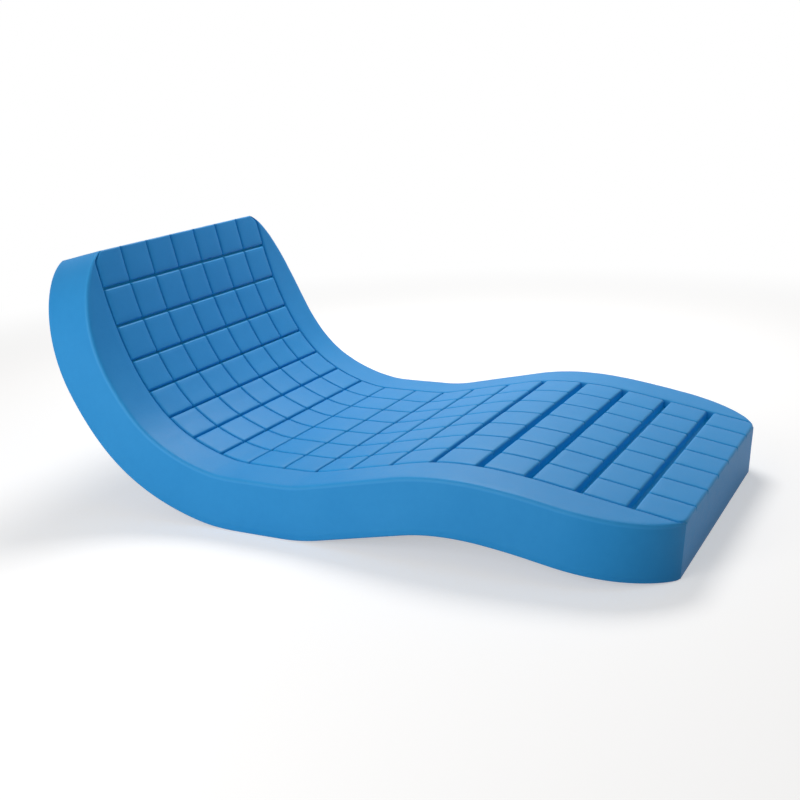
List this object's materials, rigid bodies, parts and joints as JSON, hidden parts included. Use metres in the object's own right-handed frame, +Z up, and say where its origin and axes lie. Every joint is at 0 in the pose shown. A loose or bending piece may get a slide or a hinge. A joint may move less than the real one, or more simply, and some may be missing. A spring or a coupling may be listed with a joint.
{
  "type": "pressure relief mattress",
  "caption": "Foam mattress of soft blocks between smooth side rails, bending at its grooves to raise the back and the knees.",
  "frame": {"origin": "on the ground under the middle of the raised mattress's length and width", "axes": "+X from the head end to the foot end, +Y across the mattress, +Z up"},
  "size_m": [1.5678, 0.9, 0.6195],
  "materials": {
    "core_foam": "matt moulded skin on soft foam",
    "cell_foam": "matt moulded skin on soft foam"
  },
  "bodies": {
    "seat": {"row_09_core": "core_foam", "row_09_cells": "cell_foam", "row_10_core": "core_foam", "row_10_cells": "cell_foam"},
    "back_8": {"row_08_core": "core_foam", "row_08_cells": "cell_foam"},
    "back_7": {"row_07_core": "core_foam", "row_07_cells": "cell_foam"},
    "back_6": {"row_06_core": "core_foam", "row_06_cells": "cell_foam"},
    "back_5": {"row_05_core": "core_foam", "row_05_cells": "cell_foam"},
    "back_4": {"row_04_core": "core_foam", "row_04_cells": "cell_foam"},
    "back_3": {"row_03_core": "core_foam", "row_03_cells": "cell_foam"},
    "back_2": {"row_02_core": "core_foam", "row_02_cells": "cell_foam"},
    "back_1": {"row_01_core": "core_foam", "row_01_cells": "cell_foam"},
    "thigh": {"row_11_core": "core_foam", "row_11_cells": "cell_foam", "row_12_core": "core_foam", "row_12_cells": "cell_foam", "row_13_core": "core_foam", "row_13_cells": "cell_foam"},
    "knee_1": {"row_14_core": "core_foam", "row_14_cells": "cell_foam"},
    "knee_2": {"row_15_core": "core_foam", "row_15_cells": "cell_foam"},
    "foot": {"row_16_core": "core_foam", "row_16_cells": "cell_foam", "row_17_core": "core_foam", "row_17_cells": "cell_foam", "row_18_core": "core_foam", "row_18_cells": "cell_foam"}
  },
  "joints": [
    {"name": "back_raise", "type": "hinge", "parent": "seat", "child": "back_8", "pos_m": [-0.26923, 0, 0], "axis": [0, 1, 0], "range_deg": [-12, 0]},
    {"name": "back_curl_7", "type": "hinge", "parent": "back_8", "child": "back_7", "pos_m": [-0.37389, 0, 0.02225], "axis": [0, 1, 0], "range_deg": [-10, 0]},
    {"name": "back_curl_6", "type": "hinge", "parent": "back_7", "child": "back_6", "pos_m": [-0.4731, 0, 0.06233], "axis": [0, 1, 0], "range_deg": [-12, 0]},
    {"name": "back_curl_5", "type": "hinge", "parent": "back_6", "child": "back_5", "pos_m": [-0.56181, 0, 0.12216], "axis": [0, 1, 0], "range_deg": [-14, 0]},
    {"name": "back_curl_4", "type": "hinge", "parent": "back_5", "child": "back_4", "pos_m": [-0.63341, 0, 0.20168], "axis": [0, 1, 0], "range_deg": [-11, 0]},
    {"name": "back_curl_3", "type": "hinge", "parent": "back_4", "child": "back_3", "pos_m": [-0.68852, 0, 0.2934], "axis": [0, 1, 0], "range_deg": [-8, 0]},
    {"name": "back_curl_2", "type": "hinge", "parent": "back_3", "child": "back_2", "pos_m": [-0.73033, 0, 0.39189], "axis": [0, 1, 0], "range_deg": [-6, 0]},
    {"name": "back_curl_1", "type": "hinge", "parent": "back_2", "child": "back_1", "pos_m": [-0.76161, 0, 0.49422], "axis": [0, 1, 0], "range_deg": [-4, 0]},
    {"name": "thigh_raise", "type": "hinge", "parent": "seat", "child": "thigh", "pos_m": [-0.05523, 0, 0], "axis": [0, -1, 0], "range_deg": [-12, 0]},
    {"name": "knee_bend", "type": "hinge", "parent": "thigh", "child": "knee_1", "pos_m": [0.23214, 0, 0.19194], "axis": [0, 1, 0], "range_deg": [-10, 0]},
    {"name": "knee_bend_14", "type": "hinge", "parent": "knee_1", "child": "knee_2", "pos_m": [0.34357, 0, 0.19583], "axis": [0, 1, 0], "range_deg": [-8, 0]},
    {"name": "knee_bend_15", "type": "hinge", "parent": "knee_2", "child": "foot", "pos_m": [0.45446, 0, 0.18418], "axis": [0, 1, 0], "range_deg": [-4, 0]}
  ],
  "couplings": [
    {"joint": "back_curl_7", "follows": "back_raise", "ratio": 0.8333},
    {"joint": "back_curl_6", "follows": "back_raise", "ratio": 1},
    {"joint": "back_curl_5", "follows": "back_raise", "ratio": 1.1666},
    {"joint": "back_curl_4", "follows": "back_raise", "ratio": 0.9166},
    {"joint": "back_curl_3", "follows": "back_raise", "ratio": 0.6666},
    {"joint": "back_curl_2", "follows": "back_raise", "ratio": 0.5},
    {"joint": "back_curl_1", "follows": "back_raise", "ratio": 0.3333},
    {"joint": "knee_bend", "follows": "thigh_raise", "ratio": 0.8333},
    {"joint": "knee_bend_14", "follows": "thigh_raise", "ratio": 0.6666},
    {"joint": "knee_bend_15", "follows": "thigh_raise", "ratio": 0.3333}
  ]
}
